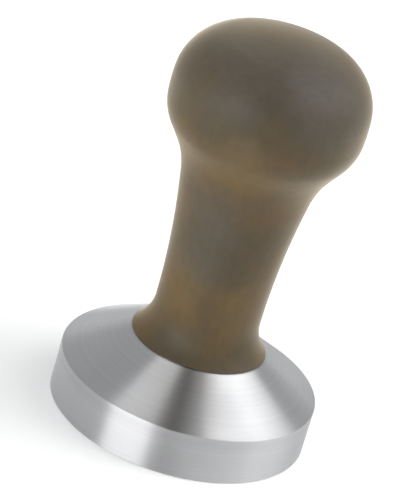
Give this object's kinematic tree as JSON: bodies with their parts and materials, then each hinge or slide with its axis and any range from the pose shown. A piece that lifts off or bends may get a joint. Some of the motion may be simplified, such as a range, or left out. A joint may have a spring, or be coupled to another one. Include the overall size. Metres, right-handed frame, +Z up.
{
  "type": "espresso tamper",
  "caption": "Flat-faced steel coffee tamper base with a turned wooden mushroom handle that screws onto its stud.",
  "frame": {"origin": "centre of the flat tamping face, which stands on the counter", "axes": "+Z up along the turning axis, from the tamping face to the top of the handle; X and Y are equivalent"},
  "size_m": [0.058, 0.058, 0.0939],
  "materials": {
    "stainless_steel": "fine turned satin",
    "stud_steel": "rolled thread, plain",
    "washer_rubber": "matt",
    "insert_brass": "machined",
    "stained_wood": "taupe stain under satin lacquer"
  },
  "bodies": {
    "base": {"base": "stainless_steel", "stud": "stud_steel"},
    "washer": {"joint_washer": "washer_rubber"},
    "handle": {"handle": "stained_wood", "threaded_insert": "insert_brass"}
  },
  "joints": [
    {"name": "handle_unscrew", "type": "hinge", "parent": "base", "child": "washer", "pos_m": [0, 0, 0], "axis": [0, 0, 1], "range_deg": [0, 3240]},
    {"name": "handle_rise", "type": "slide", "parent": "washer", "child": "handle", "axis": [0, 0, 1], "range_m": [0, 0.0135]}
  ],
  "couplings": [
    {"joint": "handle_rise", "follows": "handle_unscrew", "m_per_rad": 0.00023873}
  ]
}
